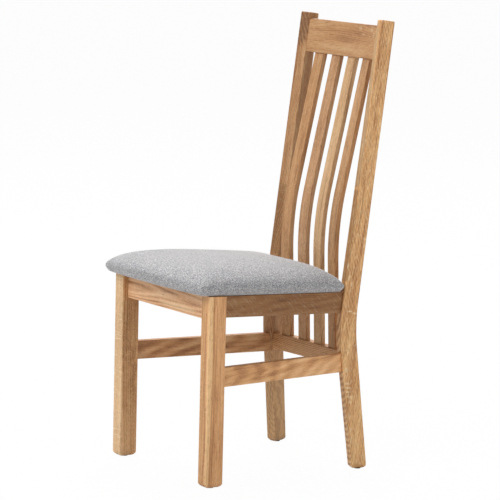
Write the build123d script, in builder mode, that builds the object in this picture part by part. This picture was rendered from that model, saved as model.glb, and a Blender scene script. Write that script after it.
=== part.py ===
"""Oak dining chair: turned-in rear posts, four bent back slats and an upholstered drop-on seat pad.

The chair faces -Y, +X is the sitter's left and the floor is Z = 0.
"""
import os
from math import asin, cos, radians, sin, sqrt, tan

from build123d import *

os.makedirs("parts", exist_ok=True)

# Front legs
leg_span = 427.0
leg_width = 35.0
leg_depth = 46.0
leg_ease = 2.0
foot_round = 11.0
foot_bulge = 0.36

# Foot glides
glide_diameter = 16.0
glide_thickness = 1.0

# Seat plane and seat frame
seat_front_height = 448.5
seat_slope = 3.1
seat_depth = 396.0
front_rail_height = 57.0
front_rail_setback = 15.0
front_rail_thickness = 22.0
side_rail_height = 50.0
side_rail_thickness = 18.0
side_rail_leg_setback = 10.0
side_rail_post_setback = 7.0
rear_rail_height = 50.0
rear_rail_thickness = 20.0
rear_rail_setback = 2.0
rail_ease = 1.2

# Rear posts
post_height = 1070.0
post_thickness = 30.0
post_turn = 14.0
post_lean = 1.5
post_rake = 7.2
post_kick = 6.9
post_knee_height = 333.0
post_knee_spacing = 306.0
post_knee_radius = 500.0
post_back_knee_rise = 15.0
post_foot_depth = 37.0
post_knee_depth = 41.5
post_top_depth = 33.0
post_ease = 2.5
post_top_round = 3.0

# Back: curve in plan, slats, crest and lower rail
back_radius = 1134.0
slat_count = 4
slat_pitch = 66.0
slat_width = 32.5
slat_thickness = 13.0
slat_bend_height = 577.5
slat_bend_setback = 411.0
slat_lower_tilt = 2.4
slat_upper_tilt = 12.6
slat_bend_radius = 650.0
slat_tenon = 18.0
slat_ease = 1.5
crest_height = 82.0
crest_thickness = 25.0
crest_drop = 97.0
crest_reveal = 6.0
crest_ease = 3.0
lower_rail_height = 40.0
lower_rail_thickness = 26.0
lower_rail_top = 281.0
lower_rail_reveal = 4.0
lower_rail_ease = 1.5

# Side stretchers
stretcher_top = 280.0
stretcher_height = 45.0
stretcher_thickness = 18.0
stretcher_leg_setback = 5.0
stretcher_post_setback = 5.0

# Seat pad
pad_front_overhang = 30.0
pad_side_overhang = 9.0
pad_rear_overhang = 9.5
pad_front_bow = 11.0
pad_rear_gap = 2.0
pad_front_radius = 12.0
pad_rear_radius = 8.0
pad_softening = 0.05
pad_rim_height = 14.2
pad_under_inset = 17.0
pad_crown = 72.5
pad_crown_inset = 198.0
pad_last_angle = 77.0
pad_crown_steps = 9
pad_rim_steps = 3
pad_clearance = 0.3
cover_thickness = 1.5
cover_turn_under = 46.0
board_thickness = 12.0
dust_cover_thickness = 0.8

# Corner blocks, dowels and screws
block_height = 30.0
block_drop = 3.0
block_reach = 62.0
block_relief = 14.0
block_screw_share = 0.55
block_screw_grip = 12.0
block_screw_bite = 15.0
seat_screw_share = 0.3
seat_screw_bite = 8.0
screw_diameter = 4.0
screw_head_diameter = 8.0
screw_head_height = 2.4
screw_clearance = 0.2
dowel_diameter = 8.0
dowel_length = 30.0
dowel_clearance = 0.1
dowel_end_gap = 1.0
side_rail_dowel_offset = 5.5
front_rail_dowel_offset = 22.0
rear_rail_dowel_offset = 16.5
rear_dowel_bite = 9.0
post_dowel_bite = 12.0
stretcher_dowel_offset = 16.0
crest_dowel_offset = 22.0
lower_rail_dowel_offset = 5.0
joint_clearance = 0.15

# Working allowances for cuts
cut_margin = 5.0
rail_overrun = 30.0
foot_trim = 0.6

half_span = leg_span / 2
slope = radians(seat_slope)
seat_normal = Vector(0, sin(slope), cos(slope))


def sag(x):
    """How far the back's curve comes forward at the distance x from the middle."""
    return sqrt(back_radius**2 - x**2) - back_radius


def post_front(rise):
    """Sharp front line of a post, in its own plane, at a height above the knee."""
    return rise * tan(radians(post_rake)) if rise > 0 else -rise * tan(radians(post_kick))


def mirrored(plane):
    """The same plane on the sitter's right."""
    return Plane(
        origin=(-plane.origin.X, plane.origin.Y, plane.origin.Z),
        x_dir=(-plane.x_dir.X, plane.x_dir.Y, plane.x_dir.Z),
        z_dir=(-plane.z_dir.X, plane.z_dir.Y, plane.z_dir.Z),
    )


def along(point, direction):
    """A plane at a point that faces along a direction."""
    return Plane(origin=point, z_dir=direction)


# Post plane, and the shift that puts the origin under the middle of the whole chair
turn = radians(post_turn)
lean = radians(post_lean)
rake = radians(post_rake)
post_back = Vector(sin(turn), cos(turn), 0)
post_out = Vector(cos(turn) * cos(lean), -sin(turn) * cos(lean), sin(lean))
top_rise = (post_height - post_knee_height) / cos(lean)
top_front = (post_front(top_rise), top_rise)
top_rear = (
    top_front[0] + post_top_depth * cos(rake),
    top_rise - post_top_depth * sin(rake),
)
post_reach = Plane(origin=(0, 0, 0), x_dir=post_back, z_dir=post_out).from_local_coords(
    Vector(top_rear[0], top_rear[1], -post_thickness / 2)
).Y
rim_shift = (pad_rim_height + pad_clearance) * sin(slope)
front_reach = (pad_front_overhang + pad_front_bow) * cos(slope) - rim_shift
front_y = front_reach - (front_reach + seat_depth + post_reach) / 2
knee_y = front_y + seat_depth
post_plane = Plane(
    origin=(post_knee_spacing / 2, knee_y, post_knee_height), x_dir=post_back, z_dir=post_out
)
post_inner = Plane(
    origin=post_plane.from_local_coords(Vector(0, 0, -post_thickness / 2)), z_dir=post_out
)
post_face_upper = Plane(
    origin=post_plane.origin,
    z_dir=post_back * cos(rake) - post_plane.y_dir * sin(rake),
)
post_face_lower = Plane(
    origin=post_plane.origin,
    z_dir=post_back * cos(radians(post_kick)) + post_plane.y_dir * sin(radians(post_kick)),
)
seat_plane = Plane(origin=(0, front_y, seat_front_height), x_dir=(1, 0, 0), z_dir=seat_normal)
leg_rear = Plane(origin=(0, front_y + leg_depth, 0), z_dir=(0, 1, 0))


def post_corner(height, setback):
    """Point on a post's front face, in from its outer edge, at a height above the floor."""
    rise = height - post_knee_height
    return post_plane.from_local_coords(
        Vector(post_front(rise), rise, post_thickness / 2 - setback)
    )


def seat_height(y):
    """Height of the seat frame's top at a depth."""
    return seat_front_height - (y - front_y) * tan(slope)


# Rail and stretcher planes: x runs from the front leg to the post, y points inwards
rail_start = Vector(half_span - side_rail_leg_setback, leg_rear.origin.Y, seat_height(leg_rear.origin.Y))
rail_end = post_corner(seat_height(knee_y), side_rail_post_setback)
rail_end = Vector(rail_end.X, rail_end.Y, seat_height(rail_end.Y))
rail_run = rail_end - rail_start
side_rail_plane = Plane(origin=rail_start, x_dir=rail_run.normalized(), z_dir=seat_normal)
side_rail_inner = along(
    side_rail_plane.from_local_coords(Vector(0, side_rail_thickness, 0)), side_rail_plane.y_dir
)
stretcher_start = Vector(half_span - stretcher_leg_setback, leg_rear.origin.Y, stretcher_top)
stretcher_middle = stretcher_top - stretcher_height / 2
stretcher_end = post_corner(stretcher_middle, stretcher_post_setback)
stretcher_end = Vector(stretcher_end.X, stretcher_end.Y, stretcher_top)
stretcher_run = stretcher_end - stretcher_start
stretcher_plane = Plane(origin=stretcher_start, x_dir=stretcher_run.normalized(), z_dir=(0, 0, 1))

# Back rails: both follow the curve of the slats
slat_bend_y = front_y + slat_bend_setback
lower_rail_rise = (slat_bend_height - lower_rail_top) * tan(radians(slat_lower_tilt))
lower_rail_front = slat_bend_y + lower_rail_rise - lower_rail_reveal
lower_rail_plane = Plane(origin=(0, lower_rail_front, lower_rail_top - lower_rail_height))
crest_bottom = post_height - crest_drop
crest_rise = (crest_bottom - slat_bend_height) * tan(radians(slat_upper_tilt))
crest_front = slat_bend_y + crest_rise - crest_reveal
crest_plane = Plane(origin=(0, crest_front, crest_bottom), x_dir=(1, 0, 0), z_dir=(0, sin(rake), cos(rake)))

# Rear seat rail, just in front of the slats
rear_rail_back = seat_plane.to_local_coords(rail_end).Y - rear_rail_setback
rear_rail_front = rear_rail_back - rear_rail_thickness


# Dowel places, each a plane whose normal is the dowel's axis
def end_dowels(plane, run, thickness, height, spacing):
    """Two dowels at the leg end and two at the post end of a rail that hangs under its plane."""
    ends = []
    for end in (0, run.length):
        ends.append([
            along(plane.from_local_coords(Vector(end, thickness / 2, offset - height / 2)), plane.x_dir)
            for offset in (-spacing, spacing)
        ])
    return ends


def post_dowels(plane, thickness, middle, spacing):
    """Two dowels about a middle height, where a curved rail meets the inner face of the left post."""
    places = []
    for offset in (-spacing, spacing):
        level = plane.from_local_coords(Vector(0, thickness / 2, middle + offset))
        rise = level.Z - post_knee_height
        x = post_plane.from_local_coords(Vector(post_front(rise), rise, -post_thickness / 2)).X
        target = level + Vector(x, sag(x), 0)
        face = target - post_out * (target - post_inner.origin).dot(post_out)
        places.append(along(face - post_out * (dowel_length / 2 - post_dowel_bite), post_out))
    return places


rail_leg_dowels, rail_post_dowels = end_dowels(
    side_rail_plane, rail_run, side_rail_thickness, side_rail_height, side_rail_dowel_offset
)
stretcher_leg_dowels, stretcher_post_dowels = end_dowels(
    stretcher_plane, stretcher_run, stretcher_thickness, stretcher_height, stretcher_dowel_offset
)
crest_dowels_left = post_dowels(crest_plane, crest_thickness, crest_height / 2, crest_dowel_offset)
lower_dowels_left = post_dowels(
    lower_rail_plane, lower_rail_thickness,
    stretcher_middle - lower_rail_plane.origin.Z, lower_rail_dowel_offset,
)
front_rail_top = seat_height(front_y + front_rail_setback + front_rail_thickness)
front_rail_middle = Vector(
    half_span - leg_width,
    front_y + front_rail_setback + front_rail_thickness / 2,
    front_rail_top - front_rail_height / 2,
)
front_dowels_left = [
    along(front_rail_middle + Vector(0, 0, offset), (1, 0, 0))
    for offset in (-front_rail_dowel_offset, front_rail_dowel_offset)
]
rear_dowels_left = []
for offset in (-rear_rail_dowel_offset, rear_rail_dowel_offset):
    middle = seat_plane.from_local_coords(
        Vector(0, (rear_rail_front + rear_rail_back) / 2, offset - rear_rail_height / 2)
    )
    inward = side_rail_plane.y_dir
    reach = (side_rail_inner.origin - middle).dot(inward) / inward.X
    face = middle + Vector(reach, 0, 0)
    rear_dowels_left.append(along(face + inward * (dowel_length / 2 - rear_dowel_bite), inward))

# Corner blocks: corner points in the seat plane, and the screws that hold them
inner_start = seat_plane.to_local_coords(side_rail_inner.origin)
inner_run = seat_plane.to_local_coords(side_rail_inner.origin + rail_run) - inner_start


def rail_inside(y):
    """The left side rail's inner face at a depth in the seat plane."""
    return inner_start.X + inner_run.X / inner_run.Y * (y - inner_start.Y)


front_corner_y = front_rail_setback + front_rail_thickness
block_corners = {"front": (front_corner_y, 1), "rear": (rear_rail_front, -1)}
block_screw_planes = {}
seat_screw_planes = {}
for place, (corner_y, inward) in block_corners.items():
    level = -block_drop - block_height / 2
    arm = block_reach * block_screw_share
    rail_face = seat_plane.from_local_coords(Vector(rail_inside(corner_y) - arm, corner_y, level))
    side_y = corner_y + inward * arm
    side_face = seat_plane.from_local_coords(Vector(rail_inside(side_y), side_y, level))
    block_screw_planes[place] = [
        along(rail_face, seat_plane.y_dir * -inward),
        along(side_face, side_rail_plane.y_dir * -1),
    ]
    reach = block_reach * seat_screw_share
    seat_screw_planes[place] = along(
        seat_plane.from_local_coords(
            Vector(rail_inside(corner_y) - reach, corner_y + inward * reach, -block_drop - block_height)
        ),
        seat_normal,
    )


seat_screw_grip = block_height + block_drop + pad_clearance + cover_thickness


def bore(planes, diameter, length):
    """Round holes centred on planes."""
    with Locations(*planes):
        Cylinder(diameter / 2, length, mode=Mode.SUBTRACT)


def bore_dowels(planes):
    """Holes that take a dowel with a little air round it and at its ends."""
    bore(planes, dowel_diameter + 2 * dowel_clearance, dowel_length + 2 * dowel_end_gap)


def screws(planes, length):
    """Pan-head screws whose heads sit on planes and whose shanks run along their normals."""
    with Locations(*planes):
        Cylinder(screw_diameter / 2, length, align=(Align.CENTER, Align.CENTER, Align.MIN))
        Cylinder(screw_head_diameter / 2, screw_head_height, align=(Align.CENTER, Align.CENTER, Align.MAX))


def both_sides(planes):
    """The planes on the left with the same ones on the right."""
    return planes + [mirrored(plane) for plane in planes]


def round_foot(plane, near, far, bottom, length):
    """Round the two bottom edges of a foot that run square to the plane."""
    for edge, inward in ((near, 1), (far, -1)):
        start = (edge, bottom + foot_round)
        bulge = (edge + inward * foot_bulge * foot_round, bottom + foot_bulge * foot_round)
        end = (edge + inward * foot_round, bottom)
        with BuildSketch(plane) as toe:
            with BuildLine():
                ThreePointArc(start, bulge, end)
                Polyline(
                    end,
                    (end[0], bottom - cut_margin),
                    (edge - inward * cut_margin, bottom - cut_margin),
                    (edge - inward * cut_margin, start[1]),
                    start,
                )
            make_face()
        extrude(toe.sketch, amount=length, both=True, mode=Mode.SUBTRACT)


def curved_rail(plane, thickness, height, ease):
    """A rail bowed to the back's curve and cut to the inner faces of both posts."""
    half = post_knee_spacing / 2 + post_thickness
    with BuildSketch(plane) as outline:
        with BuildLine():
            ThreePointArc((-half, sag(half)), (0, 0), (half, sag(half)))
            Line((half, sag(half)), (half, sag(half) + thickness))
            ThreePointArc((half, sag(half) + thickness), (0, thickness), (-half, sag(half) + thickness))
            Line((-half, sag(half) + thickness), (-half, sag(half)))
        make_face()
    bar = extrude(outline.sketch, amount=height)
    fillet(bar.edges().filter_by(lambda edge: edge.length > half), ease)
    split(bisect_by=post_inner, keep=Keep.BOTTOM)
    split(bisect_by=mirrored(post_inner), keep=Keep.BOTTOM)


def slat_form(number, air, ends, mode=Mode.ADD):
    """One bent slat, grown by some air round it and at its ends."""
    x = (number - (slat_count - 1) / 2) * slat_pitch
    angle = asin(x / back_radius)
    plane = Plane(origin=(x, slat_bend_y + sag(x), slat_bend_height), x_dir=(0, 1, 0), z_dir=(1, 0, 0))
    low = lower_rail_top - slat_bend_height - slat_tenon - ends
    high = crest_bottom - slat_bend_height + slat_tenon + ends
    low_y = -low * tan(radians(slat_lower_tilt))
    high_y = high * tan(radians(slat_upper_tilt))
    depth = slat_thickness + air
    with BuildSketch(plane) as outline:
        with BuildLine():
            Polyline(
                (low_y - air, low), (-air, 0), (high_y - air, high),
                (high_y + depth, high), (depth, 0), (low_y + depth, low), close=True,
            )
        make_face()
        fillet(outline.vertices().filter_by(lambda corner: abs(corner.Y) < cut_margin), slat_bend_radius)
    tangent = Vector(cos(angle), -sin(angle), 0)
    extrude(outline.sketch, amount=slat_width / 2 + air, dir=tangent, both=True, mode=mode)


# The pad's outline at a height, drawn in from its widest line
post_edge = seat_plane.to_local_coords(post_corner(seat_height(knee_y), 0))


def pad_outline(plane, inset):
    """Rounded plan of the pad, wide and bowed in front, narrow behind."""
    front_x = half_span + pad_side_overhang - inset
    rear_x = post_edge.X + pad_rear_overhang - inset
    front = inset - pad_front_overhang
    rear = post_edge.Y - pad_rear_gap - inset
    with BuildSketch(plane) as outline:
        with BuildLine():
            ThreePointArc((-front_x, front), (0, front - pad_front_bow), (front_x, front))
            Polyline((front_x, front), (rear_x, rear), (-rear_x, rear), (-front_x, front))
        make_face()
        corners = outline.vertices().sort_by(Axis.Y)
        fillet(corners[:2], pad_front_radius + pad_softening * inset)
        corners = outline.vertices().sort_by(Axis.Y)
        fillet(corners[-2:], pad_rear_radius + pad_softening * inset)
    return outline.sketch


def pad_form(inset):
    """The whole pad: a bull-nosed rim under a low crown, drawn in all round by an inset."""
    sections = []
    for step in range(-pad_rim_steps, pad_crown_steps + 1):
        if step < 0:
            angle = radians(90 * step / pad_rim_steps)
            height = pad_rim_height + (pad_rim_height - inset) * sin(angle)
            drawn_in = pad_under_inset * (1 - cos(angle))
        else:
            angle = radians(pad_last_angle * step / pad_crown_steps)
            height = pad_rim_height + (pad_crown - inset - pad_rim_height) * sin(angle)
            drawn_in = pad_crown_inset * (1 - cos(angle))
        sections.append(pad_outline(pad_plane.offset(height), inset + drawn_in).face())
    loft(sections, ruled=True)


def write(builder, name):
    """Label a finished piece and write it out."""
    builder.part.label = name
    export_step(builder.part, f"parts/{name}.step")


# Front legs
leg_middle = half_span - leg_width / 2
with BuildPart() as leg_blank:
    with BuildSketch(Plane(origin=(leg_middle, front_y, 0), x_dir=(1, 0, 0), z_dir=(0, -1, 0))) as outline:
        with Locations((0, glide_thickness)):
            Rectangle(leg_width, seat_front_height, align=(Align.CENTER, Align.MIN))
        fillet(outline.vertices().group_by(Axis.Y)[0], foot_round)
    extrude(amount=-leg_depth)
    split(bisect_by=seat_plane, keep=Keep.BOTTOM)
    fillet(leg_blank.edges().filter_by(Axis.Z), leg_ease)
    round_foot(
        Plane(origin=(leg_middle, front_y, 0), x_dir=(0, 1, 0), z_dir=(1, 0, 0)),
        0, leg_depth, glide_thickness, leg_width,
    )
with BuildPart() as front_leg_left:
    add(leg_blank.part)
    bore_dowels(rail_leg_dowels + stretcher_leg_dowels + front_dowels_left)
with BuildPart() as front_leg_right:
    mirror(front_leg_left.part, about=Plane.YZ)
write(front_leg_left, "front_leg_left")
write(front_leg_right, "front_leg_right")

# Rear posts, sawn from flat stock with a knee below the seat
foot_level = (glide_thickness - post_knee_height) / cos(lean)
foot_rise = foot_level - foot_trim
with BuildPart() as post_blank:
    with BuildSketch(post_plane) as outline:
        with BuildLine():
            Polyline(
                (post_front(foot_rise), foot_rise), (0, 0), top_front,
                top_rear, (post_knee_depth, post_back_knee_rise),
                (post_front(foot_rise) + post_foot_depth, foot_rise), close=True,
            )
        make_face()
        corners = outline.vertices().sort_by(Axis.Y)
        fillet(corners[2:4], post_knee_radius)
        fillet(outline.vertices().sort_by(Axis.Y)[-2:], post_top_round)
        fillet(outline.vertices().sort_by(Axis.Y)[:2], foot_round)
    extrude(amount=post_thickness / 2, both=True)
    flanks = post_blank.faces().sort_by(SortBy.AREA)[-2:]
    fillet(flanks.edges(), post_ease)
    split(bisect_by=Plane.XY.offset(glide_thickness), keep=Keep.TOP)
    round_foot(
        Plane(origin=post_plane.origin, x_dir=post_out, z_dir=post_back * -1),
        -post_thickness / 2, post_thickness / 2, foot_level, post_front(foot_rise) + 2 * post_foot_depth,
    )
with BuildPart() as rear_post_left:
    add(post_blank.part)
    bore_dowels(rail_post_dowels + stretcher_post_dowels + crest_dowels_left + lower_dowels_left)
with BuildPart() as rear_post_right:
    mirror(rear_post_left.part, about=Plane.YZ)
write(rear_post_left, "rear_post_left")
write(rear_post_right, "rear_post_right")

# Foot glides
rear_foot = post_plane.from_local_coords(
    Vector(post_front(foot_rise) + post_foot_depth / 2, foot_level, 0)
)
glide_places = {
    "front_left": (leg_middle, front_y + leg_depth / 2),
    "front_right": (-leg_middle, front_y + leg_depth / 2),
    "rear_left": (rear_foot.X, rear_foot.Y),
    "rear_right": (-rear_foot.X, rear_foot.Y),
}
for place, (x, y) in glide_places.items():
    with BuildPart() as glide:
        with Locations((x, y, 0)):
            Cylinder(glide_diameter / 2, glide_thickness, align=(Align.CENTER, Align.CENTER, Align.MIN))
    write(glide, f"foot_glide_{place}")

# Seat frame
with BuildPart() as side_blank:
    with BuildSketch(side_rail_plane):
        with Locations((rail_run.length / 2, 0)):
            Rectangle(
                rail_run.length + 2 * rail_overrun, side_rail_thickness, align=(Align.CENTER, Align.MIN)
            )
    extrude(amount=-side_rail_height)
    fillet(side_blank.edges().filter_by(lambda edge: edge.length > rail_run.length), rail_ease)
    split(bisect_by=leg_rear, keep=Keep.TOP)
    split(bisect_by=post_face_upper, keep=Keep.BOTTOM)
with BuildPart() as front_blank:
    with Locations((0, front_y + front_rail_setback, front_rail_top)):
        Box(
            leg_span - 2 * leg_width, front_rail_thickness, front_rail_height,
            align=(Align.CENTER, Align.MIN, Align.MAX),
        )
    fillet(front_blank.edges().filter_by(Axis.X), rail_ease)
with BuildPart() as rear_blank:
    with BuildSketch(seat_plane):
        with Locations((0, rear_rail_front)):
            Rectangle(leg_span, rear_rail_thickness, align=(Align.CENTER, Align.MIN))
    extrude(amount=-rear_rail_height)
    split(bisect_by=side_rail_inner, keep=Keep.TOP)
    split(bisect_by=mirrored(side_rail_inner), keep=Keep.TOP)

screw_hole = screw_diameter + 2 * screw_clearance
with BuildPart() as side_seat_rail_left:
    add(side_blank.part)
    bore_dowels(rail_leg_dowels + rail_post_dowels + rear_dowels_left)
    for place in block_corners:
        bore(block_screw_planes[place][1:], screw_hole, 2 * block_screw_bite + 2 * dowel_end_gap)
with BuildPart() as side_seat_rail_right:
    mirror(side_seat_rail_left.part, about=Plane.YZ)
with BuildPart() as front_seat_rail:
    add(front_blank.part)
    bore_dowels(both_sides(front_dowels_left))
    pilots = block_screw_planes["front"][:1]
    bore(both_sides(pilots), screw_hole, 2 * block_screw_bite + 2 * dowel_end_gap)
with BuildPart() as rear_seat_rail:
    add(rear_blank.part)
    bore_dowels(both_sides(rear_dowels_left))
    pilots = block_screw_planes["rear"][:1]
    bore(both_sides(pilots), screw_hole, 2 * block_screw_bite + 2 * dowel_end_gap)
write(side_seat_rail_left, "side_seat_rail_left")
write(side_seat_rail_right, "side_seat_rail_right")
write(front_seat_rail, "front_seat_rail")
write(rear_seat_rail, "rear_seat_rail")

# Corner blocks, glued and screwed into the frame
for place, (corner_y, inward) in block_corners.items():
    corner_x = rail_inside(corner_y)
    relief_y = corner_y + inward * block_relief
    reach_y = corner_y + inward * block_reach
    with BuildPart() as block_left:
        with BuildSketch(seat_plane.offset(-block_drop)):
            with BuildLine():
                Polyline(
                    (corner_x - block_reach, corner_y - inward * cut_margin),
                    (corner_x - block_relief, corner_y - inward * cut_margin),
                    (rail_inside(relief_y) + cut_margin, relief_y),
                    (rail_inside(reach_y) + cut_margin, reach_y),
                    close=True,
                )
            make_face()
        extrude(amount=-block_height)
        for neighbour in (front_blank, rear_blank, side_blank, leg_blank):
            add(neighbour.part, mode=Mode.SUBTRACT)
        bore(block_screw_planes[place], screw_hole, 2 * (block_screw_grip + cut_margin))
        seats = [plane.offset(-block_screw_grip - block_reach / 2) for plane in block_screw_planes[place]]
        bore(seats, screw_head_diameter + 2 * screw_clearance, block_reach)
        bore([seat_screw_planes[place]], screw_hole, 4 * block_height)
    with BuildPart() as block_right:
        mirror(block_left.part, about=Plane.YZ)
    write(block_left, f"corner_block_{place}_left")
    write(block_right, f"corner_block_{place}_right")

# Side stretchers
with BuildPart() as side_stretcher_left:
    with BuildSketch(stretcher_plane):
        with Locations((stretcher_run.length / 2, 0)):
            Rectangle(
                stretcher_run.length + 2 * rail_overrun, stretcher_thickness,
                align=(Align.CENTER, Align.MIN),
            )
    bar = extrude(amount=-stretcher_height)
    fillet(bar.edges().filter_by(lambda edge: edge.length > stretcher_run.length), rail_ease)
    split(bisect_by=leg_rear, keep=Keep.TOP)
    split(bisect_by=post_face_lower, keep=Keep.BOTTOM)
    bore_dowels(stretcher_leg_dowels + stretcher_post_dowels)
with BuildPart() as side_stretcher_right:
    mirror(side_stretcher_left.part, about=Plane.YZ)
write(side_stretcher_left, "side_stretcher_left")
write(side_stretcher_right, "side_stretcher_right")

# Back: lower rail, crest rail and the slats between them
with BuildPart() as lower_back_rail:
    curved_rail(lower_rail_plane, lower_rail_thickness, lower_rail_height, lower_rail_ease)
    for number in range(slat_count):
        slat_form(number, joint_clearance, joint_clearance, Mode.SUBTRACT)
    bore_dowels(both_sides(lower_dowels_left))
with BuildPart() as crest_rail:
    curved_rail(crest_plane, crest_thickness, crest_height, crest_ease)
    for number in range(slat_count):
        slat_form(number, joint_clearance, joint_clearance, Mode.SUBTRACT)
    bore_dowels(both_sides(crest_dowels_left))
write(lower_back_rail, "lower_back_rail")
write(crest_rail, "crest_rail")
for number in range(slat_count):
    with BuildPart() as slat:
        slat_form(number, 0, 0)
        sides = slat.faces().sort_by(Axis.X)
        fillet((sides[0].edges() + sides[-1].edges()).filter_by(GeomType.LINE, reverse=True), slat_ease)
    write(slat, f"back_slat_{number + 1}")

# Seat pad
pad_plane = seat_plane.offset(pad_clearance)
seat_screw_holes = both_sides(list(seat_screw_planes.values()))
with BuildPart() as pad_outside:
    pad_form(0)
with BuildPart() as pad_inside:
    pad_form(cover_thickness)
with BuildPart() as seat_cover:
    add(pad_outside.part)
    add(pad_inside.part, mode=Mode.SUBTRACT)
    opening = pad_outline(pad_plane.offset(-cut_margin), pad_under_inset + cover_turn_under)
    extrude(opening, amount=2 * cut_margin, mode=Mode.SUBTRACT)
    bore(seat_screw_holes, screw_hole, 2 * (seat_screw_grip + seat_screw_bite + dowel_end_gap))
with BuildPart() as seat_board:
    sheet = pad_outline(pad_plane.offset(cover_thickness), pad_under_inset + cover_thickness + pad_clearance)
    extrude(sheet, amount=board_thickness)
    bore(seat_screw_holes, screw_hole, 2 * (seat_screw_grip + seat_screw_bite + dowel_end_gap))
with BuildPart() as seat_foam:
    pad_form(cover_thickness + pad_clearance)
    split(bisect_by=pad_plane.offset(cover_thickness + board_thickness), keep=Keep.TOP)
with BuildPart() as dust_cover:
    sheet = pad_outline(
        pad_plane.offset(cover_thickness - dust_cover_thickness),
        pad_under_inset + cover_turn_under + pad_clearance,
    )
    extrude(sheet, amount=dust_cover_thickness)
    bore(seat_screw_holes, screw_hole, 2 * (seat_screw_grip + seat_screw_bite + dowel_end_gap))
write(seat_cover, "seat_cover")
write(seat_board, "seat_board")
write(seat_foam, "seat_foam")
write(dust_cover, "dust_cover")

# Dowels and screws, each kind a group of separate pieces
seat_frame_dowels = rail_leg_dowels + rail_post_dowels + front_dowels_left + rear_dowels_left
dowel_groups = {
    "seat_frame_dowels": seat_frame_dowels,
    "stretcher_dowels": stretcher_leg_dowels + stretcher_post_dowels + lower_dowels_left,
    "crest_dowels": crest_dowels_left,
}
for name, planes in dowel_groups.items():
    with BuildPart() as dowels:
        with Locations(*both_sides(planes)):
            Cylinder(dowel_diameter / 2, dowel_length)
    write(dowels, name)
with BuildPart() as block_screws:
    seats = [plane.offset(-block_screw_grip) for pair in block_screw_planes.values() for plane in pair]
    screws(both_sides(seats), block_screw_grip + block_screw_bite)
write(block_screws, "block_screws")
with BuildPart() as seat_screws:
    screws(seat_screw_holes, seat_screw_grip + seat_screw_bite)
write(seat_screws, "seat_screws")
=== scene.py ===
from math import cos, pi, radians, sin

import bmesh
import bpy
from mathutils import Matrix, Vector


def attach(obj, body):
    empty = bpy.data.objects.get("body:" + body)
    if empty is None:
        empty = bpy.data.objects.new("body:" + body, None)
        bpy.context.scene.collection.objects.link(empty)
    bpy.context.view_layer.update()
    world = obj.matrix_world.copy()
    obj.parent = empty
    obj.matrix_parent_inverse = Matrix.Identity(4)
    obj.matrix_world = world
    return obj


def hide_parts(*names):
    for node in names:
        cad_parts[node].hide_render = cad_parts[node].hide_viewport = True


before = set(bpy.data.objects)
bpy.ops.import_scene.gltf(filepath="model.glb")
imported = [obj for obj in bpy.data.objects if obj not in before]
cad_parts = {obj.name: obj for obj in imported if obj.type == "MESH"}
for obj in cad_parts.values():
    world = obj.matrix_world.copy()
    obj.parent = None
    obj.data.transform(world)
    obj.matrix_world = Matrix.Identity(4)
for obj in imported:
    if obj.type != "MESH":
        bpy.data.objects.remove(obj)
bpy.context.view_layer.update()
scene = bpy.context.scene
MM = 0.001

COORDINATES = "ShaderNodeTexCoord"
MAPPING = "ShaderNodeMapping"
NOISE = "ShaderNodeTexNoise"
WAVE = "ShaderNodeTexWave"
RAMP = "ShaderNodeValToRGB"
RANGE = "ShaderNodeMapRange"
MIX = "ShaderNodeMix"
MATH = "ShaderNodeMath"
VECTOR_MATH = "ShaderNodeVectorMath"
BUMP = "ShaderNodeBump"
SURFACE = "ShaderNodeBsdfPrincipled"
LIGHT_PATH = "ShaderNodeLightPath"
BACKGROUND = "ShaderNodeBackground"
TIMES = {"operation": "MULTIPLY"}
PLUS = {"operation": "ADD"}
MINUS = {"operation": "SUBTRACT"}
TIMES_PLUS = {"operation": "MULTIPLY_ADD"}
POWER = {"operation": "POWER"}
GREATER = {"operation": "MAXIMUM"}
LENGTH = {"operation": "LENGTH"}
RINGS = {"wave_type": "RINGS", "rings_direction": "Z", "wave_profile": "SIN"}
BANDS = {"wave_type": "BANDS", "bands_direction": "Z", "wave_profile": "SIN"}
SOFT_STEP = {"interpolation_type": "SMOOTHSTEP"}
COLOURS = {"data_type": "RGBA"}
NUMBERS = {"data_type": "FLOAT"}


def hex_colour(code, factor=1.0):
    """An sRGB hex colour as linear RGBA, made lighter or darker by a factor."""
    channels = [int(code[i:i + 2], 16) / 255 for i in (0, 2, 4)]
    linear = [c / 12.92 if c <= 0.04045 else ((c + 0.055) / 1.055) ** 2.4 for c in channels]
    return (*(factor * c for c in linear), 1.0)


def node(tree, kind, settings=None, out=0, **inputs):
    """Add a node with its settings and its sockets' values or links, and give one of its outputs.

    A socket goes by its name, or by its number in the form i0.
    """
    made = tree.nodes.new(kind)
    for key, value in (settings or {}).items():
        setattr(made, key, value)
    for key, value in inputs.items():
        socket = made.inputs[int(key[1:]) if key[1:].isdigit() else key.replace("_", " ")]
        if isinstance(value, bpy.types.NodeSocket):
            tree.links.new(value, socket)
        else:
            socket.default_value = value
    return made.outputs[out]


def new_material(name):
    """An empty node material with its output; gives the material, its tree and the output node."""
    material = bpy.data.materials.new(name)
    material.use_nodes = True
    tree = material.node_tree
    tree.nodes.clear()
    return material, tree, tree.nodes.new("ShaderNodeOutputMaterial")


def set_stops(ramp, stops):
    """Give a colour ramp its stops, each a place and a linear colour."""
    elements = ramp.color_ramp.elements
    while len(elements) > 1:
        elements.remove(elements[-1])
    elements[0].position, elements[0].color = stops[0]
    for place, colour in stops[1:]:
        elements.new(place).color = colour


def dress(obj, material):
    """Put one material on an object."""
    obj.data.materials.clear()
    obj.data.materials.append(material)


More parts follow.
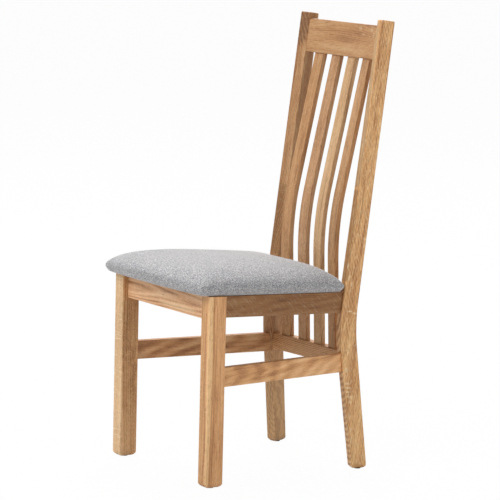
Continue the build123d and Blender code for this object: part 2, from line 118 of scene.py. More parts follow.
# Oak, planed, sanded and finished with satin lacquer: honey brown with fine ring lines, open pores
# along the grain and pale ray flecks where a face lies near the radius of the tree.
RING_WIDTH = 3.4 * MM     # real rings are 2 to 3 mm wide, drawn a little coarser so that they show
RING_DEPTH = 0.34         # how much a ring darkens the tone
PORE_WIDTH = 1.3 * MM     # real pores are 0.3 mm wide, drawn coarser so that they show
PORE_LENGTH = 15.0 * MM
PORE_EDGE = (0.52, 0.63)  # levels of the noise between which a pore opens
PORE_IN_RING = 0.6        # how much the pores keep to the dark half of a ring
PORE_COLOUR = "784A28"
PORE_RELIEF = 0.25 * MM
STREAK_WIDTH = 2.2 * MM   # real streaks are about 1 mm wide, drawn coarser so that they show
STREAK_LENGTH = 120.0 * MM
STREAK_EDGE = (0.3, 0.7)
SATIN = (0.46, 0.58)      # roughness of the lacquer, from streak to streak
BAND_WIDTH = 16.0 * MM
BAND_LENGTH = 330.0 * MM
BAND_SHARE = 0.55
SWAY_WIDTH = 60.0 * MM
SWAY_LENGTH = 260.0 * MM
SWAY_REACH = 8.0 * MM
CURL_POWER = 2.0          # narrows the dark lines of a curl
CONTRAST = 1.4
TONE_STOPS = (0.18, 0.48, 0.80)
MIDDLE = 0.5              # the middle level of a noise, a wave or a tone
FINE_RELIEF = 0.3
WAVE_PERIOD = 0.31416     # distance between rings of the wave texture at scale 1
SOFT = 0.5                # share of a mark's reach over which it fades
CRISP = 0.1               # a crisp mark is square and does not follow the sway of the grain
PALE = "F0DBB2"
FLECK_EDGE = (0.54, 0.70)
# Ray flecks on the boards, in mm: two sizes across the grain and one along it
FLECK_SHORT = (13.0, 1.2, 2.4)
FLECK_BAR = (30.0, 1.0, 3.4)
FLECK_LINE = (2.0, 34.0, 1.8)
FLECK_DASH = (3.0, 3.0, 14.0)


def swayed(tree, board):
    """A board's space with its grain swaying slowly along it."""
    drawn = node(tree, MAPPING, Vector=board, Scale=(1 / SWAY_WIDTH, 1 / SWAY_WIDTH, 1 / SWAY_LENGTH))
    sway = node(tree, NOISE, out="Color", Vector=drawn, Scale=1.0, Detail=2.0, Roughness=0.45)
    sway = node(tree, VECTOR_MATH, MINUS, i0=sway, i1=(MIDDLE, MIDDLE, MIDDLE))
    sway = node(tree, VECTOR_MATH, TIMES, i0=sway, i1=(SWAY_REACH, SWAY_REACH, 0))
    return node(tree, VECTOR_MATH, PLUS, i0=board, i1=sway)


def figure(tree, bent, fleck_size, fleck_turn):
    """The rings, bands, streaks, pores and ray flecks of a board, each a level from 0 to 1."""
    layers = [node(
        tree, WAVE, RINGS, out="Fac", Vector=bent, Scale=WAVE_PERIOD / RING_WIDTH,
        Distortion=1.2, Detail=3.0, Detail_Scale=1.5, Detail_Roughness=0.6,
    )]
    turned = node(tree, MAPPING, Vector=bent, Rotation=(radians(fleck_turn), 0, 0))
    for space, size, detail, roughness in (
        (bent, (BAND_WIDTH, BAND_WIDTH, BAND_LENGTH), 2.0, 0.5),
        (bent, (STREAK_WIDTH, STREAK_WIDTH, STREAK_LENGTH), 4.0, 0.65),
        (bent, (PORE_WIDTH, PORE_WIDTH, PORE_LENGTH), 2.0, 0.6),
        (turned, [part * MM for part in fleck_size], 2.0, 0.55),
    ):
        drawn = node(tree, MAPPING, Vector=space, Scale=[1 / part for part in size])
        layers.append(node(tree, NOISE, Vector=drawn, Scale=1.0, Detail=detail, Roughness=roughness))
    return layers


def share_inside(tree, space, middle, reach, share, fade):
    """A share that holds within a reach in mm about a middle and fades out at its edge."""
    apart = node(tree, VECTOR_MATH, MINUS, i0=space, i1=middle)
    apart = node(tree, VECTOR_MATH, TIMES, i0=apart, i1=[1 / (part * MM) for part in reach])
    if fade == CRISP:     # square, as a joint between boards is
        apart = node(tree, VECTOR_MATH, TIMES, i0=apart, i1=apart)
        apart = node(tree, VECTOR_MATH, TIMES, i0=apart, i1=apart)
    apart = node(tree, VECTOR_MATH, LENGTH, out="Value", i0=apart)
    return node(
        tree, RANGE, SOFT_STEP, Value=apart, From_Min=1.0, From_Max=1.0 - fade, To_Min=0.0, To_Max=share,
    )


def curled(tree, bent, shade, inside, slant, width):
    """A tone darkened by slanted waves of curled grain."""
    slanted = node(tree, MAPPING, Vector=bent, Rotation=(radians(slant), radians(slant), 0))
    wave = node(
        tree, WAVE, BANDS, out="Fac", Vector=slanted, Scale=WAVE_PERIOD / (width * MM),
        Distortion=6.0, Detail=3.0, Detail_Scale=1.0,
    )
    wave = node(tree, MATH, POWER, i0=wave, i1=CURL_POWER)
    wave = node(tree, MATH, TIMES, i0=wave, i1=inside)
    return node(tree, MATH, MINUS, i0=shade, i1=wave)


def wood(
    name, grain, heart, seed=0.0, tilt=0.0, roll=0.0, tone=1.0, light="E6BC8D", mid="D19B69", dark="8E5834",
    rings=0.5, streaks=0.6, pores=0.45, flecks=0.2, fleck_size=FLECK_SHORT, fleck_turn=0.0,
    curls=(), marks=(),
):
    """Wood for one piece: grain is its length, heart the way in mm to the middle of the tree.

    Seed is a place along the tree, so that no two boards are alike. Tilt and roll, in degrees, turn
    the grain off the piece's length and round it. Tone makes all the colours lighter or darker.
    Curls are waves of dark grain and marks are patches of another colour. Both start with a middle
    and a reach in mm, the reach taken twice across the grain and once along it. A curl then has its
    depth, slant in degrees and wave width in mm, and a mark its colour, share and fade.
    """
    material, tree, output = new_material(name)
    turn = Vector(grain).normalized().rotation_difference(Vector((0, 0, 1))).to_matrix()
    turn = Matrix.Rotation(radians(tilt), 3, "X") @ Matrix.Rotation(radians(roll), 3, "Z") @ turn
    start = Vector((heart[0] * MM, heart[1] * MM, seed))
    place = node(tree, COORDINATES, out="Object")
    board = node(tree, MAPPING, Vector=place, Rotation=turn.to_euler(), Location=start)
    bent = swayed(tree, board)
    ring, band, streak, pore, fleck = figure(tree, bent, fleck_size, fleck_turn)

    # Tone: bands, streaks, rings and curls through one ramp
    shade = node(tree, MATH, TIMES, i0=band, i1=BAND_SHARE)
    shade = node(tree, MATH, PLUS, i0=shade, i1=node(tree, MATH, TIMES, i0=streak, i1=streaks))
    dip = node(tree, MATH, TIMES, i0=node(tree, MATH, MINUS, i0=ring, i1=MIDDLE), i1=RING_DEPTH * rings)
    shade = node(tree, MATH, MINUS, i0=shade, i1=dip)
    for middle, reach, depth, slant, width in curls:
        inside = share_inside(tree, bent, turn @ (Vector(middle) * MM) + start, reach, depth, SOFT)
        shade = curled(tree, bent, shade, inside, slant, width)
    shade = node(tree, MATH, MINUS, i0=shade, i1=MIDDLE * (BAND_SHARE + streaks))
    shade = node(tree, MATH, TIMES_PLUS, i0=shade, i1=CONTRAST, i2=MIDDLE)
    colour = node(tree, RAMP, Fac=shade)
    tones = zip(TONE_STOPS, (dark, mid, light))
    set_stops(colour.node, [(stop, hex_colour(code, tone)) for stop, code in tones])
    for middle, reach, code, share, fade in marks:
        space = board if fade == CRISP else bent
        inside = share_inside(tree, space, turn @ (Vector(middle) * MM) + start, reach, share, fade)
        colour = node(tree, MIX, COLOURS, out=2, i0=inside, i6=colour, i7=hex_colour(code, tone))

    # Ray flecks: pale bars across the grain
    begin, full = FLECK_EDGE
    fleck = node(tree, RANGE, SOFT_STEP, Value=fleck, From_Min=begin, From_Max=full, To_Max=flecks)
    colour = node(tree, MIX, COLOURS, out=2, i0=fleck, i6=colour, i7=hex_colour(PALE, tone))

    # Pores: short dark dashes, most of them in the dark half of each ring
    begin, full = PORE_EDGE
    pore = node(tree, RANGE, SOFT_STEP, Value=pore, From_Min=begin, From_Max=full, To_Min=0.0, To_Max=1.0)
    in_ring = node(tree, MATH, TIMES_PLUS, i0=ring, i1=PORE_IN_RING, i2=1.0 - PORE_IN_RING)
    pore = node(tree, MATH, TIMES, i0=pore, i1=in_ring)
    cover = node(tree, MATH, TIMES, i0=pore, i1=pores)
    colour = node(tree, MIX, COLOURS, out=2, i0=cover, i6=colour, i7=hex_colour(PORE_COLOUR, tone))

    low, high = STREAK_EDGE
    rough = node(tree, RANGE, Value=streak, From_Min=low, From_Max=high, To_Min=SATIN[0], To_Max=SATIN[1])
    height = node(tree, MATH, MINUS, i0=1.0, i1=pore)
    bump = node(tree, BUMP, Height=height, Strength=FINE_RELIEF, Distance=PORE_RELIEF)
    shader = node(
        tree, SURFACE, Base_Color=colour, Roughness=rough, Normal=bump, IOR=1.5, Specular_IOR_Level=0.3,
    )
    tree.links.new(shader, output.inputs["Surface"])
    return material


# The way the grain runs in each kind of piece
UP = (0, 0, 1)
FORE = (0, 1, 0)
ACROSS = (1, 0, 0)
POST_LEFT = (-0.052, 0.124, 0.991)
POST_RIGHT = (0.052, 0.124, 0.991)
SLAT = (0, 0.14, 0.99)
RAIL_LEFT = (-0.155, 0.987, -0.053)
RAIL_RIGHT = (0.155, 0.987, -0.053)
BAR_LEFT = (-0.155, 0.988, 0)
BAR_RIGHT = (0.155, 0.988, 0)
POST_TURN = 14            # degrees that the posts are turned inwards
LONG = 3000               # a reach past both ends of any piece

# A pale strip painted along the front corner of the left leg as the highlight of its eased edge, with a
# dark line beside it
leg_left_marks = [
    ((213.5, -241, 225), (8, 9, LONG), "E8C490", 0.5, SOFT),
    ((213.5, -231.5, 225), (3, 2, LONG), "8F6238", 0.4, SOFT),
    ((190, -243, 225), (14, 6, LONG), "B98F62", 0.45, SOFT),
]
# A pale front on the right leg, and painted shade on its inner side, which lies under the seat
leg_right_marks = [
    ((-196, -243, 225), (30, 7, LONG), "EBCDA3", 0.5, SOFT),
    ((-178.5, -218, 225), (6, 24, LONG), "B08454", 0.35, SOFT),
]
leg_right_curls = [((-178, -218, 200), (12, 34, 170), 0.13, 82, 9)]
# The left post is joined from boards: a greyer front above, a browner one below, a dark line along
# its side, and pale rays about the knee and down the lower leg
post_left_marks = [
    ((142, 223, 870), (24, 3.5, 200), "AE8E68", 0.65, CRISP),
    ((150, 183.5, 560), (24, 3.5, 111), "8F6439", 0.6, CRISP),
    ((173, 201, 620), (4, 1.8, 160), "7E5630", 0.55, SOFT),
]
post_left_rays = [
    ((170, 174, 461), (5, 3, 11), 0.5),
    ((167, 171, 490), (5, 3, 9), 0.45),
    ((172, 180, 446), (5, 3, 9), 0.45),
    ((173, 176, 381), (8, 8, 3), 0.6),
    ((176, 188, 376), (8, 9, 3), 0.5),
    ((174.6, 168, 241), (8, 7, 8), 0.35),
    ((176, 170, 208), (8, 9, 3.5), 0.5),
    ((176.5, 172, 198), (8, 10, 3), 0.55),
    ((177, 171, 188), (8, 8, 3), 0.5),
    ((178, 175, 176), (8, 9, 3), 0.45),
    ((178, 178, 163), (8, 6, 5), 0.35),
    ((180, 178, 128), (5, 3, 9), 0.4),
    ((182, 181, 97), (5, 3, 7), 0.4),
    ((183, 182.5, 72), (5, 3, 11), 0.4),
]
# The right post is joined from boards too: a grey-brown head, a wavy board under the joint and a
# paler, curled lower leg
post_right_marks = [
    ((-160, 242, 1040), (30, 8, 62), "8E6A48", 0.55, SOFT),
    ((-158, 183, 562), (40, 6, 88), "A07447", 0.5, CRISP),
    ((-166, 195, 90), (90, 90, 160), "F8CA92", 0.5, SOFT),
]
post_right_curls = [
    ((-160, 242, 1040), (30, 10, 60), 0.45, -50, 9),
    ((-158, 182, 566), (40, 8, 84), 0.22, 66, 6),
    ((-166, 195, 90), (90, 90, 150), 0.26, 70, 9),
]
# A pale streak and a small knot on the front rail
front_rail_marks = [
    ((45, -228, 402), (9, 30, 110), "E6CBA2", 0.4, SOFT),
    ((-17, -228, 420), (2.2, 2.2, 2.2), "3C2412", 0.9, SOFT),
]
# Painted shade along the crest's top edge, which holds down its brightly lit top, two brown streaks and
# pale rays at its left end
crest_marks = [
    ((0, 262, 1057), (4.5, 60, LONG), "7E5230", 0.5, CRISP),
    ((0, 255.6, 1015), (7, 10, 40), "96683E", 0.22, SOFT),
    ((-60, 255, 1042), (6, 10, 34), "A87A4C", 0.22, SOFT),
]
crest_rays = [
    ((66, 257, 1044), (8, 8, 9), 0.3),
    ((84, 257, 1030), (4, 6, 16), 0.25),
    ((118, 252, 1045), (8, 8, 8), 0.3),
    ((130, 250, 1032), (9, 8, 7), 0.3),
]
for rays, joined in ((post_left_rays, post_left_marks), (crest_rays, crest_marks)):
    joined.extend((middle, reach, PALE, share, SOFT) for middle, reach, share in rays)

slat_wood = dict(grain=SLAT, rings=0.35, streaks=0.6, pores=0.5)
oak_pieces = {
    "front_leg_left": dict(
        grain=UP, heart=(-230, 140), seed=1.3, tilt=0.5, tone=1.17, rings=0.3, marks=leg_left_marks,
    ),
    "front_leg_right": dict(
        grain=UP, heart=(140, 250), seed=2.9, tilt=-0.7, tone=1.02, rings=0.4, flecks=0.6,
        fleck_size=FLECK_BAR, curls=leg_right_curls, marks=leg_right_marks,
    ),
    "rear_post_left": dict(
        grain=POST_LEFT, heart=(-120, 10), seed=3.7, tilt=0.9, roll=POST_TURN, tone=1.04,
        light="EBC38C", mid="D5A068", rings=0.65, streaks=0.85, pores=0.6, flecks=0.42,
        fleck_size=FLECK_DASH, marks=post_left_marks,
    ),
    "rear_post_right": dict(
        grain=POST_RIGHT, heart=(100, -120), seed=5.1, tilt=-1.3, roll=-POST_TURN, tone=0.76,
        curls=post_right_curls, marks=post_right_marks,
    ),
    # The left side rail's tone of 0.54 is partly painted shade from the pad's overhang; its colours are
    # those of a redder, darker board
    "side_seat_rail_left": dict(
        grain=RAIL_LEFT, heart=(60, 480), seed=6.2, tone=0.54, light="DCAA76", mid="C08552", dark="7A4B2A",
        rings=0.15, streaks=0.4, pores=0.3, flecks=0.4, fleck_size=FLECK_LINE, fleck_turn=-50,
    ),
    "side_seat_rail_right": dict(grain=RAIL_RIGHT, heart=(-80, 470), seed=7.7, tone=0.8),
    "front_seat_rail": dict(
        grain=ACROSS, heart=(420, 180), seed=8.4, tilt=0.8, tone=1.2, light="E4BF98", mid="CFA077",
        streaks=0.3, pores=0.3, marks=front_rail_marks,
    ),
    "side_stretcher_left": dict(
        grain=BAR_LEFT, heart=(140, 300), seed=9.8, tilt=-8, tone=1.18, mid="CB9664",
        rings=0.3, streaks=0.35, pores=0.3,
    ),
    "side_stretcher_right": dict(
        grain=BAR_RIGHT, heart=(-130, 310), seed=11.3, tilt=-0.6, tone=0.9, mid="C68F5E", streaks=0.45,
    ),
    "lower_back_rail": dict(grain=ACROSS, heart=(900, -700), seed=12.1, rings=0.7, streaks=0.4, pores=0.3),
    "crest_rail": dict(
        grain=ACROSS, heart=(1060, -230), seed=13.6, tilt=0.5, tone=0.82, rings=0.2, streaks=0.4, pores=0.4,
        marks=crest_marks,
    ),
    "back_slat_1": dict(heart=(160, -90), seed=14.2, tilt=0.6, tone=0.86, **slat_wood),
    "back_slat_2": dict(
        heart=(90, -160), seed=15.9, tilt=-0.8, tone=0.92,
        light="DDB28A", mid="C69569", dark="8A5C3C", **slat_wood,
    ),
    "back_slat_3": dict(
        heart=(20, -110), seed=17.1, tilt=0.9, tone=0.94,
        light="E8C498", mid="D6A97B", dark="98704A", **slat_wood,
    ),
    "back_slat_4": dict(
        heart=(-20, -150), seed=18.5, tilt=-0.5, tone=0.94,
        light="DDB186", mid="C49365", dark="86603C", **slat_wood,
    ),
}
for piece, values in oak_pieces.items():
    dress(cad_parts[piece], wood(f"satin_oak_{piece}", **values))

# The rear seat rail and the corner blocks are the same oak left bare: paler and drier
bare_wood = dict(light="E3C798", mid="D2B07C", dark="A9814F", flecks=0.1, rings=0.4)
bare_pieces = {
    "rear_seat_rail": dict(grain=ACROSS, heart=(300, 90), seed=20.3),
    "corner_block_front_left": dict(grain=(1, 1, 0), heart=(200, 60), seed=21.4),
    "corner_block_front_right": dict(grain=(-1, 1, 0), heart=(190, 70), seed=22.6),
    "corner_block_rear_left": dict(grain=(-1, 1, 0), heart=(230, 40), seed=23.1),
    "corner_block_rear_right": dict(grain=(1, 1, 0), heart=(210, 50), seed=24.9),
}
for piece, values in bare_pieces.items():
    dress(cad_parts[piece], wood(f"bare_oak_{piece}", **values, **bare_wood))

# Beech dowels, turned: pinkish and even, with hardly any figure
dowel_beech = wood(
    "turned_beech", ACROSS, (30, 20), light="E0BF93", mid="D4AE80", dark="B98E5F",
    rings=0.2, pores=0.1, flecks=0.1,
)
for piece in ("seat_frame_dowels", "stretcher_dowels", "crest_dowels"):
    dress(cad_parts[piece], dowel_beech)

# Birch plywood, sanded: pale, with soft waves in its face veneer
dress(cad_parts["seat_board"], wood(
    "birch_plywood", FORE, (0, 900), light="E6CFA8", mid="DCC093", dark="BF9C6A",
    rings=0.3, pores=0.1, flecks=0.1,
))

GRIT_STOPS = (0.35, 0.65)


def plain(name, light, dark, roughness, grit, relief, metallic=0.0):
    """A plain surface with a fine grit in its colour and relief."""
    material, tree, output = new_material(name)
    place = node(tree, COORDINATES, out="Object")
    grain = node(tree, NOISE, Vector=place, Scale=1 / grit, Detail=3.0, Roughness=0.6)
    colour = node(tree, RAMP, Fac=grain)
    set_stops(colour.node, [(stop, hex_colour(code)) for stop, code in zip(GRIT_STOPS, (dark, light))])
    bump = node(tree, BUMP, Height=grain, Strength=FINE_RELIEF, Distance=relief)
    shader = node(tree, SURFACE, Base_Color=colour, Roughness=roughness, Normal=bump, Metallic=metallic)
    tree.links.new(shader, output.inputs["Surface"])
    return material


# Nylon glides, moulded: nearly black and dull, with a fine grit
nylon = plain("moulded_nylon", "2C2622", "1D1916", 0.6, 1.5 * MM, 0.1 * MM)
for corner in ("front_left", "front_right", "rear_left", "rear_right"):
    dress(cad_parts[f"foot_glide_{corner}"], nylon)

# Steel screws, zinc plated: bright, cool metal, a little clouded
zinc = plain("zinc_plated_steel", "C9CBCC", "AEB1B4", 0.35, 0.8 * MM, 0.02 * MM, metallic=1.0)
for piece in ("block_screws", "seat_screws"):
    dress(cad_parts[piece], zinc)

# Lining, spun-bonded from black fibre: matt, like thin felt
lining = plain("spun_bonded_lining", "26262A", "141416", 0.9, 1.2 * MM, 0.2 * MM)
dress(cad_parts["dust_cover"], lining)

# Wool-mix cloth, plain woven from mottled grey yarn: matt, pale, speckled light and dark
YARN_PITCH = 2.0 * MM     # real yarns lie about 1 mm apart, drawn coarser so that they show
YARN_SLUB = 9.0 * MM
YARN_RELIEF = 0.6 * MM
SPECK = 2.7 * MM          # real specks are 1 to 2 mm long, drawn coarser so that they show
SPECK_SHARE = 0.7
CLOTH_STOPS = ((0.40, "6C6C71"), (0.52, "A1A0A2"), (0.64, "DAD8D7"))


def woven_cloth():
    """Mottled grey upholstery cloth."""
    material, tree, output = new_material("mottled_wool_cloth")
    place = node(tree, COORDINATES, out="Object")
    threads = []
    for size in ((YARN_SLUB, YARN_PITCH, YARN_PITCH), (YARN_PITCH, YARN_SLUB, YARN_PITCH)):
        run = node(tree, MAPPING, Vector=place, Scale=[1 / part for part in size])
        threads.append(node(tree, NOISE, Vector=run, Scale=1.0, Detail=2.0, Roughness=0.7))
    weave = node(tree, MATH, GREATER, i0=threads[0], i1=threads[1])
    speck = node(tree, NOISE, Vector=place, Scale=1 / SPECK, Detail=3.0, Roughness=0.75)
    mixed = node(tree, MIX, NUMBERS, i0=SPECK_SHARE, i2=weave, i3=speck)
    colour = node(tree, RAMP, Fac=mixed)
    set_stops(colour.node, [(stop, hex_colour(code)) for stop, code in CLOTH_STOPS])
    bump = node(tree, BUMP, Height=mixed, Strength=0.5, Distance=YARN_RELIEF)
    shader = node(
        tree, SURFACE, Base_Color=colour, Roughness=0.92, Normal=bump,
        Specular_IOR_Level=0.2, Sheen_Weight=1.0, Sheen_Roughness=0.28,
    )
    tree.links.new(shader, output.inputs["Surface"])
    return material


# Seat pad: a foam form under stretched cloth, flat underneath where it lies on the rails
MERGE = 0.01 * MM
PAD_VOXEL = 4.5 * MM
PAD_PRESSURE = 4.0
PAD_FRAMES = 20
PAD_MOVE = 2.0 * MM       # the most that the cloth moves off the foam
PAD_STRETCH = 25          # stiffness of the cloth
PAD_BEND = 4
HELD_RISE = 5.0 * MM      # the cloth is held by the board up to here
DOME_START = 18.0 * MM
DOME_BLEND = 25.0 * MM
DOME_PASSES = 90
PULL_PITCH = 42.0 * MM    # from staple to staple
PULL_HEIGHT = 24.0 * MM
PULL_DEPTH = 1.3 * MM
SWELL_HEIGHT = 50.0 * MM  # the sides swell a little all round, below this height
SWELL_REACH = 3.5 * MM
SWELL_END = 130.0 * MM    # how far back the sides swell, clear of the posts
SWELL_FADE = 60.0 * MM
FULL_FOOT = 12.0 * MM     # between the corners the sides are fuller, from here to the top
FULL_TOP = 74.0 * MM
FULL_REACH = 9.0 * MM
LINING_GAP = 1.0 * MM
LINING_SINK = 3.0 * MM
LINING_REAR = 20.0 * MM   # the stretch of the lining in which its rear width is read
FACES_DOWN = -0.97        # a face nearer to straight down than this belongs to the underside
SEAT_SLOPE = radians(3.1)
SEAT_NORMAL = Vector((0, sin(SEAT_SLOPE), cos(SEAT_SLOPE)))


def pad_blank(name):
    """The closed outer form of the pad, merged from the cover's shell."""
    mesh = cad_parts["seat_cover"].data.copy()
    shape = bmesh.new()
    shape.from_mesh(mesh)
    bmesh.ops.remove_doubles(shape, verts=shape.verts, dist=MERGE)
    hull = bmesh.ops.convex_hull(shape, input=shape.verts)
    inside = hull["geom_interior"] + hull["geom_unused"]
    spare = set(item for item in inside if isinstance(item, bmesh.types.BMVert))
    bmesh.ops.delete(shape, geom=list(spare), context="VERTS")
    outer = set(item for item in hull["geom"] if isinstance(item, bmesh.types.BMFace))
    bmesh.ops.delete(shape, geom=[face for face in shape.faces if face not in outer], context="FACES_ONLY")
    bmesh.ops.recalc_face_normals(shape, faces=shape.faces)
    shape.to_mesh(mesh)
    shape.free()
    mesh.name = name
    obj = bpy.data.objects.new(name, mesh)
    scene.collection.objects.link(obj)
    return obj


def apply_modifiers(obj):
    """Replace an object's mesh by its evaluated one."""
    graph = bpy.context.evaluated_depsgraph_get()
    mesh = bpy.data.meshes.new_from_object(obj.evaluated_get(graph))
    obj.modifiers.clear()
    obj.data = mesh


def even_mesh(obj):
    """Give the pad an even mesh that cloth can stretch on."""
    remesh = obj.modifiers.new("even", "REMESH")
    remesh.mode = "VOXEL"
    remesh.voxel_size = PAD_VOXEL
    apply_modifiers(obj)


def inflate(obj):
    """Let the foam press the cloth outwards, held where it meets the board."""
    held = obj.vertex_groups.new(name="held")
    for vert in obj.data.vertices:
        if vert.co.dot(SEAT_NORMAL) - pad_foot < HELD_RISE:
            held.add([vert.index], 1.0, "REPLACE")
    cloth = obj.modifiers.new("cloth", "CLOTH")
    cloth.settings.use_pressure = True
    cloth.settings.uniform_pressure_force = PAD_PRESSURE
    cloth.settings.effector_weights.gravity = 0
    cloth.settings.vertex_group_mass = "held"
    cloth.settings.tension_stiffness = PAD_STRETCH
    cloth.settings.compression_stiffness = PAD_STRETCH
    cloth.settings.bending_stiffness = PAD_BEND
    for number in range(1, PAD_FRAMES + 1):
        scene.frame_set(number)
    start = [vert.co.copy() for vert in obj.data.vertices]
    apply_modifiers(obj)
    for vert, old in zip(obj.data.vertices, start):
        move = vert.co - old
        if move.length > PAD_MOVE:
            vert.co = old + move.normalized() * PAD_MOVE
    scene.frame_set(1)


def smooth_dome(obj):
    """Even out the domed top, which the rim holds."""
    dome = obj.vertex_groups.new(name="dome")
    for vert in obj.data.vertices:
        rise = vert.co.dot(SEAT_NORMAL) - pad_foot
        weight = min(1.0, max(0.0, (rise - DOME_START) / DOME_BLEND))
        dome.add([vert.index], weight, "REPLACE")
    smooth = obj.modifiers.new("even", "SMOOTH")
    smooth.factor = 0.5
    smooth.iterations = DOME_PASSES
    smooth.vertex_group = "dome"
    apply_modifiers(obj)


def shape_sides(obj):
    """Sides that swell clear of the posts, with small dips where the cloth is pulled under and stapled."""
    verts = obj.data.vertices
    middle = sum((vert.co for vert in verts), Vector()) / len(verts)
    half_width = max(abs(vert.co.x) for vert in verts)
    half_depth = middle.y - min(vert.co.y for vert in verts)
    for vert in verts:
        rise = max(0.0, vert.co.dot(SEAT_NORMAL) - pad_foot)
        if rise > FULL_TOP:
            continue
        outward = vert.co - middle
        outward -= SEAT_NORMAL * outward.dot(SEAT_NORMAL)
        clear = min(1.0, max(0.0, (SWELL_END - vert.co.y) / SWELL_FADE))
        corner = min(1.0, abs(vert.co.x) / half_width * abs(vert.co.y - middle.y) / half_depth) ** 2
        move = SWELL_REACH * clear * sin(pi * min(1.0, rise / SWELL_HEIGHT))
        if rise > FULL_FOOT:
            along = (rise - FULL_FOOT) / (FULL_TOP - FULL_FOOT)
            move += FULL_REACH * clear * (1.0 - corner) * sin(pi * along)
        if rise < PULL_HEIGHT:
            dip = 0.5 - 0.5 * cos(2 * pi * (vert.co.x + vert.co.y) / PULL_PITCH)
            move -= PULL_DEPTH * dip * sin(pi * rise / PULL_HEIGHT)
        vert.co += outward.normalized() * move


def soften(obj):
    """Round off the mesh's facets."""
    for polygon in obj.data.polygons:
        polygon.use_smooth = True
    subdivide = obj.modifiers.new("soften", "SUBSURF")
    subdivide.levels = 1
    subdivide.render_levels = 1
    apply_modifiers(obj)


def lining_sides():
    """The four edges of the lining with a gap round them, each a point and a way outwards."""
    corners = [vert.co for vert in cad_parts["dust_cover"].data.vertices]
    front = min(co.y for co in corners)
    rear = max(co.y for co in corners)
    span = max(co.x for co in corners)
    rear_span = max(co.x for co in corners if co.y > rear - LINING_REAR)
    lean = (span - rear_span) / (rear - front)
    sides = [
        (Vector((0, front - LINING_GAP, 0)), Vector((0, -1, 0))),
        (Vector((0, rear + LINING_GAP, 0)), Vector((0, 1, 0))),
    ]
    for sign in (1, -1):
        sides.append((Vector((sign * (span + LINING_GAP), front, 0)), Vector((sign, lean, 0)).normalized()))
    return sides


def open_underside(obj):
    """Sink the flat underside inside the turned-under cloth, where the lining lies."""
    sides = lining_sides()
    shape = bmesh.new()
    shape.from_mesh(obj.data)
    shape.normal_update()

    def underside():
        return [face for face in shape.faces if face.normal.dot(SEAT_NORMAL) < FACES_DOWN]

    for point, normal in sides:
        faces = underside()
        verts = set(vert for face in faces for vert in face.verts)
        edges = set(edge for face in faces for edge in face.edges)
        bmesh.ops.bisect_plane(
            shape, geom=[*verts, *edges, *faces], dist=MERGE, plane_co=point, plane_no=normal,
        )
        shape.normal_update()
    inner = [
        face for face in underside()
        if all((face.calc_center_median() - point).dot(normal) < 0 for point, normal in sides)
    ]
    sunk = bmesh.ops.extrude_face_region(shape, geom=inner)["geom"]
    bmesh.ops.delete(shape, geom=inner, context="FACES_ONLY")
    raised = [item for item in sunk if isinstance(item, bmesh.types.BMVert)]
    bmesh.ops.translate(shape, verts=raised, vec=SEAT_NORMAL * LINING_SINK)
    shape.to_mesh(obj.data)
    shape.free()


pad = pad_blank("seat_pad")
even_mesh(pad)
pad_foot = min(vert.co.dot(SEAT_NORMAL) for vert in pad.data.vertices)
inflate(pad)
smooth_dome(pad)
shape_sides(pad)
soften(pad)
open_underside(pad)
dress(pad, woven_cloth())
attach(pad, "root")
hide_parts("seat_cover", "seat_foam")

# Camera: its place in metres, its turns, and its focal length in pixels of the picture
IMAGE = 500
CAMERA_PLACE = Vector((5.65223, -3.66127, 1.46348))
CAMERA_HEADING = radians(57.06)
CAMERA_PITCH = radians(8.0155)
CAMERA_ROLL = radians(1.41)
CAMERA_FOCUS = 2856.8
CAMERA_FAR = 100.0
SENSOR = 36.0

right = Vector((cos(CAMERA_HEADING), sin(CAMERA_HEADING), 0))
ahead = Vector((-sin(CAMERA_HEADING), cos(CAMERA_HEADING), 0))
up = Vector((0, 0, cos(CAMERA_PITCH))) + ahead * sin(CAMERA_PITCH)
forward = ahead * cos(CAMERA_PITCH) - Vector((0, 0, sin(CAMERA_PITCH)))
side = right * cos(CAMERA_ROLL) + up * sin(CAMERA_ROLL)
top = up * cos(CAMERA_ROLL) - right * sin(CAMERA_ROLL)
lens = bpy.data.cameras.new("camera")
lens.sensor_width = SENSOR
lens.lens = SENSOR * CAMERA_FOCUS / IMAGE
lens.clip_end = CAMERA_FAR
camera = bpy.data.objects.new("camera", lens)
camera.matrix_world = Matrix((side, top, -forward)).transposed().to_4x4()
camera.location = CAMERA_PLACE
scene.collection.objects.link(camera)
scene.camera = camera

# Floor and sky: both look white, the floor keeps the chair's shadow, and the sky fills it a little
FLOOR_SIZE = 30.0
FLOOR_PAINT = "D8D8D7"
FLOOR_GLOW = 0.975
SKY_FILL = 0.22
WHITE = "FFFFFF"


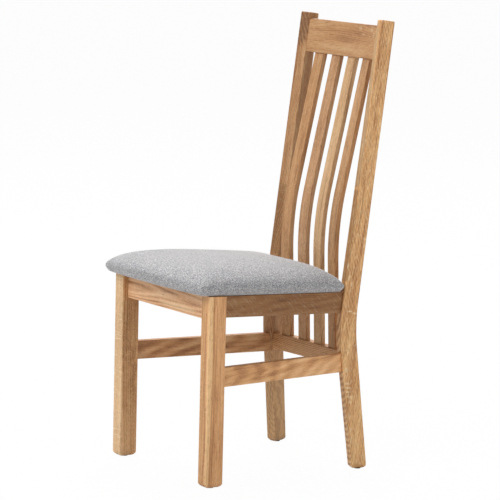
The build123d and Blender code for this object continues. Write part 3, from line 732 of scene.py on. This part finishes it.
def seen_share(tree):
    """1 where the floor or sky is seen, also in gloss or through glass, and 0 where it only gives light."""
    seen = node(tree, LIGHT_PATH, out="Is Camera Ray")
    for ray in ("Is Glossy Ray", "Is Transmission Ray"):
        seen = node(tree, MATH, GREATER, i0=seen, i1=node(tree, LIGHT_PATH, out=ray))
    return seen


floor_mesh = bpy.data.meshes.new("floor")
shape = bmesh.new()
bmesh.ops.create_grid(shape, x_segments=1, y_segments=1, size=FLOOR_SIZE)
shape.to_mesh(floor_mesh)
shape.free()
floor = bpy.data.objects.new("floor", floor_mesh)
scene.collection.objects.link(floor)
# Floor paint, matt pale grey: an even ground without gloss, lit up to white where it is seen
material, tree, output = new_material("matt_floor_paint")
paint = node(tree, "ShaderNodeBsdfDiffuse", Color=hex_colour(FLOOR_PAINT))
glow = node(tree, "ShaderNodeEmission", Color=hex_colour(WHITE), Strength=1.0)
share = node(tree, MATH, TIMES, i0=seen_share(tree), i1=FLOOR_GLOW)
mixed = node(tree, "ShaderNodeMixShader", i0=share, i1=paint, i2=glow)
tree.links.new(mixed, output.inputs["Surface"])
dress(floor, material)

world = bpy.data.worlds.new("studio")
scene.world = world
world.use_nodes = True
tree = world.node_tree
tree.nodes.clear()
output = tree.nodes.new("ShaderNodeOutputWorld")
white = node(tree, BACKGROUND, Color=hex_colour(WHITE), Strength=1.0)
fill = node(tree, BACKGROUND, Color=hex_colour(WHITE), Strength=SKY_FILL)
mixed = node(tree, "ShaderNodeMixShader", i0=seen_share(tree), i1=fill, i2=white)
tree.links.new(mixed, output.inputs["Surface"])

# Soft boxes: a large one high up, one in front, and a low one beside the back, so that the slats
# and posts shade each other's sides
LAMP_TARGET = Vector((0, 0, 0.5))


def lamp(name, place, size, power):
    """A square soft box at a place in metres that shines at the chair."""
    data = bpy.data.lights.new(name, "AREA")
    data.energy = power
    data.size = size
    obj = bpy.data.objects.new(name, data)
    obj.location = place
    aim = LAMP_TARGET - Vector(place)
    obj.rotation_euler = aim.to_track_quat("-Z", "Y").to_euler()
    scene.collection.objects.link(obj)


lamp("top", (-3.5, 1.5, 6.0), size=4.0, power=500)
lamp("front", (0.5, -4.5, 4.2), size=3.0, power=195)
lamp("side", (5.5, 0.6, 1.9), size=2.4, power=82)

scene.view_settings.view_transform = "Standard"
